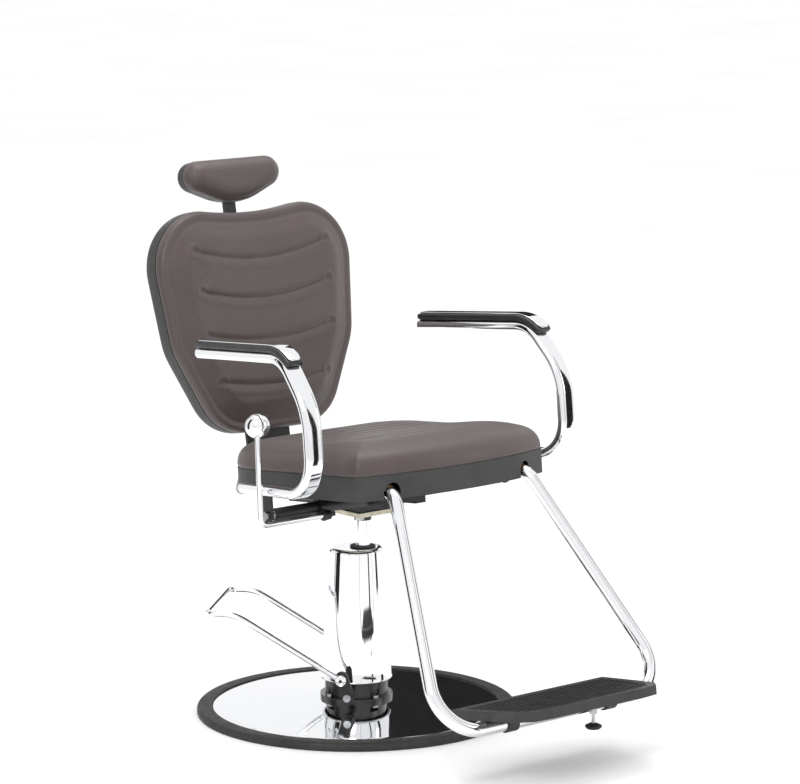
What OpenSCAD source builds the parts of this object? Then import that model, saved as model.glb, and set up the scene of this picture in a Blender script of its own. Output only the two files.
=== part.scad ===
// Hydraulic barber chair. Millimetres, +Z up, the sitter faces -Y.
// Origin: where the piston rod's axis, about which the chair turns, meets the floor.

/* [Base] */
// Outer diameter of the rubber ring on the floor
base_d = 600; // [560:10:700]
// Width of the rubber ring
ring_w = 27; // [22:1:34]
// Height of the rubber ring
ring_h = 15; // [12:1:18]
// Height of the pressed dish where the pump stands on it
dish_h = 28; // [24:1:34]
// Thickness of the pressed dish
dish_t = 2; // [1.5:0.5:3]
// Distance from the rod's axis to the middle of the base
base_offset = 13.5; // [11:0.5:15]

/* [Pump] */
// Diameter of the cast pump housing
housing_d = 118; // [112:1:124]
// Height of the top face of the pump housing
housing_top = 66; // [62:1:70]
// Bottom diameter of the tapered cover
cover_d = 133; // [126:1:142]
// Top diameter of the tapered cover
cover_top_d = 101; // [98:1:112]
// Height of the cover's top face above the floor
cover_top = 315; // [290:5:340]
// Outer diameter of the pump cylinder
cylinder_d = 50; // [46:1:54]
// Diameter of the piston rod
rod_d = 28; // [24:1:30]
// Length of rod that shows above the cover
rod_show = 52; // [48:1:70]

/* [Pedal] */
// Direction of the pedal, in degrees from the sitter's left
pedal_az = 131; // [120:1:150]
// Height of the pedal's cross shaft
pedal_shaft_z = 50; // [48:1:52]
// Diameter of the cross shaft
pedal_shaft_d = 14; // [12:1:16]
// Distance between the two bars of the pedal
pedal_w = 208; // [180:2:230]
// Reach of the pedal from the middle of the base
pedal_reach = 264; // [230:2:300]
// Slope of the pedal's bars
pedal_slope = 31; // [26:1:34]
// Diameter of the pedal's bar
pedal_bar_d = 11; // [10:1:14]

/* [Seat] */
// Height of the seat's datum, the seam between pan and cushion, on the rod's axis
seat_z = 486; // [480:1:500]
// Backward tilt of the seat
seat_tilt = 5.2; // [4:0.1:6]
// Width of the seat
seat_w = 450; // [420:5:480]
// Distance from the rod's axis to the front of the seat
seat_front = 295; // [280:5:310]
// Distance from the rod's axis to the rear of the seat
seat_rear = 162; // [150:2:170]
// Height of the moulded pan
pan_h = 44; // [42:1:50]
// Wall of the moulded pan
pan_wall = 3; // [2.5:0.5:4]
// Height of the cushion above the pan
cushion_h = 52; // [44:1:60]

/* [Arms] */
// Thickness of the oblong arm tube
arm_t = 20; // [18:1:22]
// Width of the oblong arm tube
arm_w = 38; // [34:1:42]
// Wall of the arm tube
arm_wall = 2; // [1.5:0.5:3]
// Distance from the chair's middle to the rear end of an arm
arm_x = 266; // [260:2:280]
// Angle at which the arms open towards the front
arm_toe = 6; // [4:0.5:8]
// Height of the arm's top run above the seat's datum
arm_top = 219; // [205:1:235]
// Thickness of the arm pad
pad_t = 12; // [10:1:16]

/* [Back] */
// Width of the backrest
back_w = 460; // [430:5:490]
// Height of the backrest
back_l = 428; // [400:4:450]
// Lean of the backrest from vertical
back_lean = 10.3; // [8:0.1:14]
// Height of the backrest's lower edge above the floor
back_z = 502; // [498:1:520]
// Distance from the rod's axis back to the backrest's lower edge
back_y = 270; // [262:1:278]
// Thickness of the back's pad at its edge
back_pad_t = 27; // [24:1:32]
// Width of the steel back bracket
bracket_w = 104; // [90:2:120]

/* [Headrest] */
// Width of the headrest
head_w = 222; // [200:2:240]
// Height of the headrest
head_h = 84; // [76:1:90]
// Gap between the headrest and the top of the backrest
head_gap = 12; // [10:1:20]

/* [Footrest] */
// Diameter of the footrest tube
foot_d = 25; // [22:1:26]
// Wall of the footrest tube
foot_wall = 2; // [1.5:0.5:2.5]
// Distance between the two legs where they leave the seat
leg_gap = 316; // [300:2:324]
// Forward lean of the legs from vertical
leg_lean = 34.5; // [32:0.5:38]
// Outward splay of the legs
leg_splay = 14.6; // [12:0.2:16]
// Length of the legs along their slope
leg_l = 350; // [320:5:370]
// Width of the footplate at its rear edge
plate_w = 364; // [340:4:380]
// Depth of the footplate
plate_l = 184; // [170:2:200]
// Thickness of the footplate
plate_t = 17; // [15:1:20]

/* [Hidden] */

fit = 0.05;          // radial clearance of a running fit
gap = 0.3;           // clearance between a soft piece and its neighbour
round_fn = 64;

base_x = base_offset * cos(pedal_az);
base_y = base_offset * sin(pedal_az);
base_r = base_d / 2;
dish_r = base_r - ring_w;
plate_low_z = 6;                     // underside of the flat steel plate in the base
plate_low_t = 6;
housing_r = housing_d / 2;
housing_z = dish_h;
flange_r = housing_r + 9;
flange_t = 8;
rod_r = rod_d / 2;
rod_top = cover_top + rod_show + 22; // the rod ends inside the mounting boss
rod_low = housing_top + 80;
cylinder_top = cover_top - 22;
collar_z = cover_top + rod_show;
collar_h = 15;
mount_z = collar_z + collar_h + 2;
mount_t = 8;
mount_w = 110;
mount_pitch = 84;

arm_rear = 114;                      // rear end of the arm's top run, along the seat
pad_y = 14;                          // half width of the trim on the arm pad
arm_steps = [[247], [70, 52], [38], [120, 38], [42], [68, 90], [163]];
arm_foot_y = -72;                    // where the cross tube carries the arms
cross_d = 23;
cross_h = -69;
cross_end = 272;
bracket_x = arm_x + (arm_rear - arm_foot_y) * tan(arm_toe);

lever_y = -90;                       // axis of the recline lever, in the seat's frame
lever_h = -82.5;
lever_d = 11;
lever_x = 318;
guide_x = 172;
knob_d = 45;
lever_l = 181;

hinge_y = 188;                       // axis of the back's hinge, in the seat's frame
hinge_h = -22;
hinge_d = 18;
crank_r = 36;
crank_rest = 25;                     // angle of the crank from straight down, at rest
gas_x = -128;
gas_h = -56.3;
gas_d = 20;
gas_rod_d = 8;
crank_pin_d = 8;
rail_x = 40;
rail_w = 25;
rail_low = -86;
rail_h = 40;
board_t = 12;
post_d = 22;

foot_r = foot_d / 2;
leg_x = leg_gap / 2;
leg_h = -28;                         // the tube's run inside the pan
leg_bend = 50;
corner_bend = 75;

stem_w = 26;
stem_t = 8;

// ---------- shared building blocks ----------

seat_in = 1.5;        // how far a bend runs into the straights at its ends
bend_thin = 0.15;     // how much smaller a bend's section is all round
$thin = 0;

// Carries a section along straight runs [length] and bends [radius, angle, roll].
module bent(steps, i = 0) {
  if (i < len(steps)) {
    step = steps[i];
    if (len(step) == 1) {
      linear_extrude(step[0]) children();
      translate([0, 0, step[0]]) bent(steps, i + 1) children();
    } else {
      roll = len(step) > 2 ? step[2] : 0;
      more = seat_in / step[0] * 180 / PI;
      rotate([0, 0, roll]) {
        translate([step[0], 0, 0]) rotate([90, 0, 180]) rotate([0, 0, -more])
          rotate_extrude(angle = step[1] + 2 * more, $fn = round_fn)
            translate([step[0], 0]) mirror([1, 0]) rotate(-roll) children($thin = bend_thin);
        translate([step[0] * (1 - cos(step[1])), 0, step[0] * sin(step[1])]) rotate([0, step[1], 0]) rotate([0, 0, -roll]) bent(steps, i + 1) children();
      }
    }
  }
}

module oblong(t, w) {
  square([t, w - t], center = true);
  for (side = [-1, 1]) translate([0, side * (w - t) / 2]) circle(d = t, $fn = round_fn);
}

module rod(d, l) cylinder(d = d, h = l, $fn = round_fn);

module ring(outer, inner, h) difference() {
  rod(outer, h);
  translate([0, 0, -1]) rod(inner, h + 2);
}

// A rod or tube across the chair, from x0 to x1.
module across(x0, x1, d) translate([x0, 0, 0]) rotate([0, 90, 0]) rod(d, x1 - x0);

module on_base() translate([base_x, base_y, 0]) rotate([0, 0, pedal_az]) children();
module on_seat() translate([0, 0, seat_z]) rotate([-seat_tilt, 0, 0]) children();
module on_back() translate([0, back_y, back_z]) rotate([-back_lean, 0, 0]) children();
// An outline drawn in x and height becomes a slab that runs rearwards from depth y.
module slab(y, t) translate([0, y + t, 0]) rotate([90, 0, 0]) linear_extrude(t) children();
module both() {
  children();
  mirror([1, 0, 0]) children();
}

// ---------- base and pump, fixed ----------

module rubber_ring() color("#3a3a3a") translate([base_x, base_y, 0])
  rotate_extrude($fn = 160) polygon([[dish_r, 0], [base_r, 0], [base_r, ring_h * 0.55],
    [base_r - ring_w * 0.2, ring_h * 0.9], [base_r - ring_w * 0.45, ring_h],
    [dish_r - 3, ring_h], [dish_r - 3, dish_at(dish_r - 3) + fit], [dish_r, ring_h - 3 + fit]]);

// Height of the dish's upper face at a distance r from its middle.
function dish_at(r) = ring_h - 3 + (dish_h - ring_h + 3) * (dish_r - r) / (dish_r - flange_r);

module base_dish() color("#d8d8da") translate([base_x, base_y, 0]) difference() {
  rotate_extrude($fn = 160) polygon([[30, dish_h], [flange_r, dish_h],
    [dish_r, ring_h - 3], [dish_r, 2], [dish_r - dish_t, 2],
    [dish_r - dish_t, ring_h - 3 - dish_t], [flange_r, dish_h - dish_t], [30, dish_h - dish_t]]);
  rotate([0, 0, pedal_az]) housing_bolt_places() translate([0, 0, -5]) rod(8.4, 40);
}

module base_plate() color("#2c2c2c") translate([base_x, base_y, 0]) difference() {
  union() {
    translate([0, 0, plate_low_z]) rod(2 * flange_r + 60, plate_low_t);
    translate([0, 0, plate_low_z]) ring(2 * flange_r, 60, dish_h - dish_t - plate_low_z);
  }
  rotate([0, 0, pedal_az]) housing_bolt_places() translate([0, 0, -5]) rod(8, 60);
}

module housing_bolt_places() for (a = [45:90:315])
  rotate([0, 0, a]) translate([flange_r - 8, 0, 0]) children();

cam_w = 14;
plunger_t = 30;                      // distance of the plunger from the cross shaft
plunger_d = 12;
plunger_low = housing_z + 18.5;
plunger_top = housing_top + 7;

bolt_seat = housing_z + flange_t - 0.5;
module pump_housing() color("#141414") on_base() difference() {
  union() {
    translate([0, 0, housing_z]) rod(2 * flange_r, flange_t);
    translate([0, 0, housing_z]) rod(housing_d, housing_top - housing_z);
  }
  housing_bolt_places() {
    translate([0, 0, housing_z - 1]) rod(8.4, flange_t + 2);
    translate([0, 0, bolt_seat]) rod(18, 16.5);
  }
  translate([0, housing_r + 20, pedal_shaft_z]) rotate([90, 0, 0])
    rod(pedal_shaft_d + 2 * fit, housing_d + 40);
  translate([-16, -cam_w / 2, pedal_shaft_z - 14]) cube([36, cam_w, housing_top]);
  translate([19, -cam_w / 2, pedal_shaft_z - 2]) cube([33, cam_w, housing_top]);
  translate([plunger_t, 0, housing_z + 2]) rod(plunger_d + 2 * fit, housing_top);
}

module housing_bolts() color("#8c8c8e") on_base() housing_bolt_places() {
  translate([0, 0, bolt_seat]) cylinder(d = 14, h = 5.5, $fn = 6);
  translate([0, 0, plate_low_z + 1]) rod(8, housing_z + flange_t - plate_low_z);
}

module pump_cylinder() color("#9a9a9c") difference() {
  translate([0, 0, housing_top]) rod(cylinder_d, cylinder_top - housing_top);
  translate([0, 0, housing_top + 8]) rod(cylinder_d - 10, cylinder_top);
}

// The gland guides the rod and carries the cover's top on its collar.
module gland_nut() color("#707072") difference() {
  union() {
    translate([0, 0, cylinder_top - 14]) rod(cylinder_d - 10, 15);
    translate([0, 0, cylinder_top]) rod(cylinder_d, cover_top - cover_t - cylinder_top);
  }
  translate([0, 0, cylinder_top - 20]) rod(rod_d + 2 * fit, 60);
  translate([0, 0, cover_top - cover_t - 3]) rod(rod_d + 12, 10);
}

module pump_cover() color("#d8d8da") difference() {
  translate([base_x, base_y, 0]) rotate_extrude($fn = 128) cover_wall();
  translate([0, 0, cover_top - 20]) rod(rod_d + 12, 40);
}

cover_edge = 8;
cover_t = 1.6;
module cover_wall() {
  low_r = cover_d / 2;
  top_r = cover_top_d / 2;
  difference() {
    union() {
      polygon([[0, housing_top], [low_r, housing_top], [top_r, cover_top - cover_edge],
        [0, cover_top - cover_edge]]);
      square_round(top_r, cover_top, cover_edge);
    }
    polygon([[0, housing_top - 1], [low_r - cover_t, housing_top - 1],
      [top_r - cover_t, cover_top - cover_edge], [top_r - cover_edge, cover_top - cover_t],
      [0, cover_top - cover_t]]);
  }
}

// A disc's half section of radius r below height z, its upper edge rounded by e.
module square_round(r, z, e) {
  translate([0, z - e]) square([r - e, e]);
  intersection() {
    translate([r - e, z - e]) circle(e, $fn = round_fn);
    translate([r - e, z - e]) square([e, e]);
  }
}

module rod_wiper() color("#181818") {
  translate([0, 0, cover_top - cover_t - 3]) ring(rod_d + 11.4, rod_d + 0.2, cover_t + 3);
  translate([0, 0, cover_top]) ring(rod_d + 20, rod_d + 0.2, 2.5);
}

module release_valve() color("#8c8c8e") on_base()
  translate([plunger_t - 4, 24, housing_top]) {
    cylinder(d = 16, h = 8, $fn = 6);
    translate([0, 0, 8]) rod(9, 14);
  }

// ---------- piston, lifts ----------

module piston_rod() color("#c4c4c6") difference() {
  translate([0, 0, rod_low]) rod(rod_d, rod_top - rod_low);
  translate([0, 0, collar_z - 10]) rotate([90, 0, -40]) translate([0, 0, rod_r - 1]) rod(4, 5);
}

module piston_head() color("#8c8c8e") translate([0, 0, rod_low - 18]) difference() {
  rod(cylinder_d - 10 - 2 * fit, 18);
  for (z = [4, 11]) translate([0, 0, z]) ring(cylinder_d, cylinder_d - 13, 2.5);
}

// ---------- pedal ----------

module pedal_shaft() color("#5c5c5e") on_base() {
  translate([0, pedal_w / 2 + 9, pedal_shaft_z]) rotate([90, 0, 0])
    rod(pedal_shaft_d, pedal_w + 18);
  translate([0, cam_w / 2 - 0.5, pedal_shaft_z]) rotate([90, 0, 0])
    linear_extrude(cam_w - 1) cam_outline();
}

// The cam reaches from the cross shaft over the head of the plunger.
module cam_outline() {
  tip_r = 6;
  tip_z = plunger_top - pedal_shaft_z + tip_r + 0.5;
  circle(d = pedal_shaft_d + 8, $fn = round_fn);
  polygon([[-3, 9], [8, -6], [18, 4], [18, tip_z - tip_r - 0.2], [plunger_t, tip_z - tip_r + 0.2],
    [plunger_t, tip_z + tip_r - 0.2], [16, tip_z + tip_r - 0.2], [13, tip_z], [13, 12]]);
  translate([plunger_t, tip_z]) circle(tip_r, $fn = round_fn);
}

bar_root_t = 12;                     // where the pedal's bars are bolted to their arms
bar_root_z = pedal_shaft_z + 32;
pedal_eye_w = pedal_bar_d + 1;
module pedal_arms() color("#161616") on_base() for (side = [-1, 1])
  translate([0, side * (pedal_w / 2 - pedal_eye_w / 2 - 3), 0]) rotate([90, 0, 0])
    translate([0, 0, -3]) linear_extrude(6) difference() {
      union() {
        translate([0, pedal_shaft_z]) circle(13, $fn = round_fn);
        translate([bar_root_t, bar_root_z + 3]) circle(12, $fn = round_fn);
        polygon([[-13, pedal_shaft_z], [13, pedal_shaft_z], [bar_root_t + 11, bar_root_z],
          [bar_root_t - 12, bar_root_z + 3]]);
      }
      translate([0, pedal_shaft_z]) circle(d = pedal_shaft_d, $fn = round_fn);
      translate([bar_root_t, bar_root_z]) circle(d = 6, $fn = round_fn);
    }

pedal_bend = 90;
pedal_corner = 16;
pedal_tip = 12;
pedal_run = (pedal_reach - bar_root_t - pedal_bend * sin(pedal_slope) - pedal_tip
  - pedal_corner) / cos(pedal_slope);
pedal_z = bar_root_z + pedal_run * sin(pedal_slope) + pedal_bend * (1 - cos(pedal_slope));
module half_pedal() translate([bar_root_t, -pedal_w / 2, bar_root_z]) {
  rotate([0, 90 - pedal_slope, 0])
    bent([[pedal_run], [pedal_bend, pedal_slope], [pedal_tip], [pedal_corner, 90, 90]])
    circle(d = pedal_bar_d - 2 * $thin, $fn = 32);
  rotate([90, 0, 0]) translate([0, 0, -pedal_eye_w / 2]) rod(20, pedal_eye_w);
}

module foot_pedal() color("#d8d8da") on_base() difference() {
  union() {
    half_pedal();
    mirror([0, 1, 0]) half_pedal();
    translate([pedal_reach, pedal_w / 2 - pedal_corner, pedal_z]) rotate([90, 0, 0])
      linear_extrude(pedal_w - 2 * pedal_corner) circle(d = pedal_bar_d, $fn = 32);
  }
  translate([bar_root_t, pedal_w, bar_root_z]) rotate([90, 0, 0]) rod(6, 2 * pedal_w);
}

module pedal_bolts() color("#2a2a2a") on_base() for (side = [-1, 1])
  translate([bar_root_t, side * (pedal_w / 2 - pedal_eye_w / 2 - 8), bar_root_z])
    rotate([side * -90, 0, 0]) rod(6, pedal_eye_w + 10);

module pump_plunger() color("#8c8c8e") on_base() translate([plunger_t, 0, 0]) {
  translate([0, 0, plunger_low]) rod(plunger_d, plunger_top - plunger_low);
}

// ---------- seat: mounting and frame ----------

module seat_collar() color("#181818") translate([0, 0, collar_z])
  ring(rod_d + 4.5, rod_d + 2 * fit, collar_h);

module mount_bolt_places() for (x = [-1, 1], y = [-1, 1])
  translate([x * mount_pitch / 2, y * mount_pitch / 2, 0]) children();

module mount_plate() color("#d9d2bd") difference() {
  union() {
    translate([-mount_w / 2, -mount_w / 2, mount_z]) cube([mount_w, mount_w, mount_t]);
    translate([0, 0, mount_z - 2]) rod(rod_d + 26, 6);
  }
  translate([0, 0, mount_z - 3]) rod(rod_d + 2 * fit, rod_top - mount_z + 3 + 0.1);
  mount_bolt_places() translate([0, 0, mount_z - 1]) rod(10, mount_t + 2);
}

module mount_bolts() color("#d0cfca") mount_bolt_places() {
  translate([0, 0, mount_z - 6]) cylinder(d = 17, h = 6, $fn = 6);
  translate([0, 0, mount_z - 1]) rod(10, mount_t + 5);
}

rail_front = -112;
module seat_frame() color("#202020") difference() {
  union() {
    on_seat() {
      for (x = [-1, 1]) translate([x * rail_x - rail_w / 2, rail_front, rail_low])
        cube([rail_w, hinge_y - 26 - rail_front, rail_h]);
      for (x = [-1, 1]) translate([x * rail_x, 0, 0]) hinge_lug();
      for (y = [rail_front, 110]) translate([-rail_x + rail_w / 2, y, rail_low + 5])
        cube([2 * rail_x - rail_w, 25, rail_h - 10]);
      frame_post_places() translate([0, 0, rail_low + rail_h])
        rod(post_d, -board_t - rail_low - rail_h);
      for (y = post_rows) translate([-post_x - post_d / 2, y - post_d / 2, rail_low + rail_h - 6])
        cube([2 * post_x + post_d, post_d, 6]);
    }
    translate([-mount_w / 2 + 4, -mount_w / 2 + 4, mount_z + mount_t])
      intersection() {
        cube([mount_w - 8, mount_w - 8, 40]);
        translate([0, 0, -mount_z - mount_t]) on_wedge();
      }
  }
  on_seat() translate([0, arm_foot_y, cross_h]) across(-100, 100, cross_d);
  on_seat() translate([0, hinge_y, hinge_h]) across(-100, 100, hinge_d + 2 * fit);
  mount_bolt_places() translate([0, 0, mount_z]) rod(10 + 2 * fit, 13);
  on_seat() frame_post_places() translate([0, 0, -board_t - 20]) rod(6, 30);
}

// Everything under the rails' lower face, for the wedge on the mounting plate.
module on_wedge() translate([mount_w / 2 - 4, mount_w / 2 - 4, 0]) on_seat()
  translate([-200, -200, rail_low - 200]) cube([400, 400, 200]);

lug_t = 12;
module hinge_lug() translate([-lug_t / 2, 0, 0]) rotate([90, 0, 90]) linear_extrude(lug_t) {
  translate([hinge_y, hinge_h]) circle(17, $fn = round_fn);
  polygon([[hinge_y - 80, rail_low], [hinge_y - 26, rail_low], [hinge_y + 8, hinge_h - 15],
    [hinge_y - 15, hinge_h + 8], [hinge_y - 80, rail_low + rail_h]]);
}

post_x = 95;
post_rows = [-94, 90];
module frame_post_places() for (x = [-1, 1], y = post_rows) translate([x * post_x, y, 0]) children();

module arm_cross_tube() color("#1c1c1c") on_seat() translate([0, arm_foot_y, cross_h])
  difference() {
    across(-cross_end, cross_end, cross_d);
    for (side = [-1, 1]) translate([side * cross_end - 20, 0, 0]) across(0, 40, 10);
  }

module arm_brackets() color("#1c1c1c") on_seat() both()
  translate([-bracket_x - 2.5, arm_foot_y, 0]) rotate([90, 0, 90]) linear_extrude(5)
    difference() {
      union() {
        translate([0, cross_h]) circle(13, $fn = round_fn);
        translate([-13, cross_h]) square([26, -arm_t / 2 - 22 - cross_h]);
      }
      translate([0, cross_h]) circle(5, $fn = round_fn);
    }

module arm_bolts() color("#8c8c8e") on_seat() both()
  translate([-bracket_x - 2.5, arm_foot_y, cross_h]) rotate([0, -90, 0]) {
    cylinder(d = 17, h = 6, $fn = 6);
    translate([0, 0, -bracket_x + cross_end - 18]) rod(10, bracket_x - cross_end + 18);
    translate([0, 0, -bracket_x - 2.5 + cross_end]) ring(16, 10, bracket_x - 2.5 - cross_end);
  }

// ---------- arms ----------

module along_arm() on_seat() translate([-arm_x, arm_rear, arm_top]) rotate([0, 0, -arm_toe])
  rotate([90, 0, 0]) rotate([0, 0, -90]) children();

module arm_tube() along_arm() bent(arm_steps) difference() {
  oblong(arm_t - 2 * $thin, arm_w - 2 * $thin);
  oblong(arm_t - 2 * arm_wall + 2 * $thin, arm_w - 2 * arm_wall + 2 * $thin);
}
module arm_tube_left() color("#d8d8da") arm_tube();
module arm_tube_right() color("#d8d8da") mirror([1, 0, 0]) arm_tube();

module arm_pad() along_arm() bent([arm_steps[0], [arm_steps[1][0], 46]])
  translate([-arm_t / 2 - pad_t / 2, 0]) pad_section();
pad_w = arm_w + 1;
pad_round = 3.5;
module pad_section() {
  square([pad_t - 2 * $thin, pad_w - 2 * pad_round], center = true);
  square([pad_t - 2 * pad_round, pad_w - 2 * $thin], center = true);
  for (x = [-1, 1], y = [-1, 1])
    translate([x * (pad_t / 2 - pad_round), y * (pad_w / 2 - pad_round)])
      circle(pad_round - $thin, $fn = round_fn);
}
module arm_pad_left() color("#2a2a2a") arm_pad();
module arm_pad_right() color("#2a2a2a") mirror([1, 0, 0]) arm_pad();

trim_t = 2.5;
module pad_trim() along_arm() bent([arm_steps[0], [arm_steps[1][0], 44]])
  translate([-arm_t / 2 - pad_t - trim_t / 2, 0])
    square([trim_t - 2 * $thin, 2 * pad_y - 2 * $thin], center = true);
module pad_trim_left() color("#d8d8da") pad_trim();
module pad_trim_right() color("#d8d8da") mirror([1, 0, 0]) pad_trim();

// ---------- seat ----------

front_corner = 70;
rear_corner = 110;
front_bow = 595;                     // radius of the seat's slightly bowed front
module seat_outline() intersection() {
  hull() for (x = [-1, 1]) {
    translate([x * (seat_w / 2 - front_corner), -seat_front + front_corner])
      circle(front_corner, $fn = round_fn);
    translate([x * (seat_w / 2 - rear_corner), seat_rear - rear_corner])
      circle(rear_corner, $fn = round_fn);
  }
  translate([0, front_bow - seat_front]) circle(front_bow, $fn = 256);
}

module seat_pan() color("#3c3c3c") on_seat() difference() {
  translate([0, 0, -pan_h]) linear_extrude(pan_h) seat_outline();
  translate([0, 0, -pan_h + pan_wall]) linear_extrude(pan_h) offset(delta = -pan_wall) seat_outline();
  frame_post_places() translate([0, 0, -pan_h - 1]) rod(post_d + 2, 10);
  both() translate([leg_x, 0, 0]) {
    translate([0, -200, leg_h]) rotate([90, 0, 0]) rod(foot_d + 3, 120);
    translate([-foot_r - 1.5, -seat_front - 10, leg_h - 40]) cube([foot_d + 7, 58, 40]);
    for (y = saddle_rows) translate([-foot_r - strap_t - 1, y - saddle_w / 2 - 1, -pan_h - 1])
      cube([foot_d + 2 * strap_t + 2, saddle_w + 2, pan_wall + 2]);
  }
  for (x = [-1, 1]) translate([x * rail_x - lug_t / 2 - 1, 100, -pan_h - 1])
    cube([lug_t + 2, seat_rear - 90, pan_h - 17]);
}

module seat_board() color("#b08a5a") on_seat() difference() {
  translate([0, 0, -board_t]) linear_extrude(board_t) offset(delta = -pan_wall - 0.5) seat_outline();
  frame_post_places() translate([0, 0, -board_t - 1]) rod(6, board_t + 2);
  saddle_hole_places() translate([0, 0, -board_t - 1]) rod(5, board_t + 2);
}

module board_bolts() color("#8c8c8e") on_seat() {
  frame_post_places() translate([0, 0, -board_t - 18]) rod(6, board_t + 17.8);
  saddle_hole_places() translate([0, 0, leg_h - 3]) rod(5, -leg_h + 2.8);
}

cushion_round = 20;
module seat_cushion() color("#6b5d5b") on_seat() hull() {
  cushion_layer(gap, 2, cushion_h - cushion_round - gap);
  cushion_layer(cushion_h - 5, 14, 1);
  cushion_layer(cushion_h - 1, 30, 1);
}

// One level of the cushion, inset from the pan's outline.
module cushion_layer(h, inset, t) translate([0, 0, h]) linear_extrude(t) hull() {
  for (x = [-1, 1]) {
    translate([x * (seat_w / 2 - front_corner), -seat_front + front_corner + 18])
      circle(front_corner - inset, $fn = 40);
    translate([x * (seat_w / 2 - rear_corner), seat_rear - rear_corner])
      circle(rear_corner - inset, $fn = 40);
  }
  translate([0, -seat_front + front_corner]) circle(front_corner - inset, $fn = 40);
}

// ---------- footrest ----------

// Each leg leaves the seat level, bends down and outwards in one bend, and turns into the bar.
leg_drop = 90 - leg_lean + seat_tilt;
leg_turn = acos(cos(leg_splay) * cos(leg_drop));
leg_roll = atan2(sin(leg_splay), cos(leg_splay) * sin(leg_drop));
corner_turn = 90 + leg_splay;
corner_roll = leg_roll + atan2(-cos(leg_roll), -sin(leg_roll) * cos(leg_turn));
leg_front = -seat_front + 50;
leg_back = 150;                      // length of the level run under the board
leg_fall = leg_l * cos(leg_splay) + corner_bend * (1 + sin(leg_splay));
bar_half = leg_x + leg_bend * (1 - cos(leg_turn)) * sin(leg_roll) + leg_l * sin(leg_splay)
  - corner_bend * cos(leg_splay);
bar_run = leg_front - leg_bend * sin(leg_turn) - leg_fall * cos(leg_drop);
bar_h = leg_h - leg_bend * (1 - cos(leg_turn)) * cos(leg_roll) - leg_fall * sin(leg_drop);
bar_y = bar_run * cos(seat_tilt) + bar_h * sin(seat_tilt);
bar_z = seat_z - bar_run * sin(seat_tilt) + bar_h * cos(seat_tilt);

module half_footrest() on_seat() translate([leg_x, leg_front + leg_back, leg_h])
  rotate([90, 0, 0]) rotate([0, 0, -90])
    bent([[leg_back], [leg_bend, leg_turn, leg_roll], [leg_l],
      [corner_bend, corner_turn, corner_roll]]) foot_section();

module foot_section() difference() {
  circle(d = foot_d - 2 * $thin, $fn = 48);
  circle(d = foot_d - 2 * foot_wall + 2 * $thin, $fn = 48);
}

module footrest_tube() color("#d8d8da") {
  both() half_footrest();
  translate([-bar_half, bar_y, bar_z]) rotate([0, 90, 0]) linear_extrude(2 * bar_half)
    foot_section();
}

// A saddle of width w holds a tube of radius r, whose axis is at height 0, up against a plane
// at height top. Its two ears take bolts of diameter bolt.
strap_t = 3;
strap_ear = 9;
module saddle(r, top, w, bolt) difference() {
  translate([0, w / 2, 0]) rotate([90, 0, 0]) linear_extrude(w) difference() {
    union() {
      translate([-r - 2 * strap_ear, top - strap_t]) square([2 * r + 4 * strap_ear, strap_t]);
      circle(r + strap_t, $fn = round_fn);
      translate([-r - strap_t, 0]) square([2 * (r + strap_t), top]);
    }
    circle(r, $fn = round_fn);
    translate([-r, 0]) square([2 * r, top + 1]);
    translate([-r - strap_t - 1, top]) square([2 * (r + strap_t) + 2, r + strap_t]);
  }
  for (s = [-1, 1]) translate([s * (r + strap_ear), 0, top - 10]) rod(bolt, 20);
}

saddle_rows = [-195, -125];
saddle_w = 20;
module saddle_hole_places() for (x = [-1, 1], y = saddle_rows, s = [-1, 1])
  translate([x * leg_x + s * (foot_r + strap_ear), y, 0]) children();

module footrest_saddles() color("#8c8c8e") on_seat() for (x = [-1, 1], y = saddle_rows)
  translate([x * leg_x, y, leg_h]) saddle(foot_r, -board_t - leg_h, saddle_w, 5);

// The footplate's frame: its underside is at height 0 and it rests on the bar at y = 0.
plate_tilt = 7.9;
plate_behind = 77;
module on_plate() translate([0, bar_y, bar_z]) rotate([-plate_tilt, 0, 0])
  translate([0, 0, foot_r]) children();

module plate_outline() {
  rear = plate_behind;
  front = plate_behind - plate_l;
  rear_x = plate_w / 2;
  front_x = rear_x - 14;
  polygon([[-rear_x, rear], [rear_x, rear], [front_x, front + 34], [front_x - 22, front + 6],
    [front_x - 60, front], [-front_x + 60, front], [-front_x + 22, front + 6],
    [-front_x, front + 34]]);
}

rib_pitch = 14;
module footplate() color("#2f2f2f") on_plate() difference() {
  linear_extrude(plate_t) plate_outline();
  translate([0, 0, plate_t - 3]) linear_extrude(4) difference() {
    offset(delta = -16) plate_outline();
    for (i = [0:11]) translate([-plate_w / 2, plate_behind - 22 - i * rib_pitch])
      square([plate_w, 5]);
  }
  clamp_places() for (s = [-1, 1]) translate([0, s * (foot_r + strap_ear), -1]) rod(6, plate_t - 4);
}

clamp_x = 118;
module clamp_places() for (x = [-1, 1]) translate([x * clamp_x, 0, 0]) children();

module plate_clamps() color("#2a2a2a") on_plate() clamp_places()
  translate([0, 0, -foot_r]) rotate([0, 0, 90]) saddle(foot_r, foot_r, 24, 6);

module plate_bolts() color("#c8c8ca") on_plate() clamp_places() for (s = [-1, 1])
  translate([0, s * (foot_r + strap_ear), -strap_t]) {
    translate([0, 0, -5]) cylinder(d = 11, h = 5, $fn = 6);
    rod(6, strap_t + plate_t - 6);
  }

bumper_x = 85;
bumper_d = 30;
bumper_low = 45;                     // from the bar's axis down to the bumper's lower face
module bumper_stem() color("#8c8c8e") translate([bumper_x, bar_y, bar_z]) difference() {
  union() {
    translate([0, 0, -bumper_low + 5]) rod(7, bumper_low - 7);
    translate([0, 0, -foot_r - 5]) rod(14, 8);
  }
  rotate([0, 90, 0]) translate([0, 0, -10]) rod(foot_d, 20);
}

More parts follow.
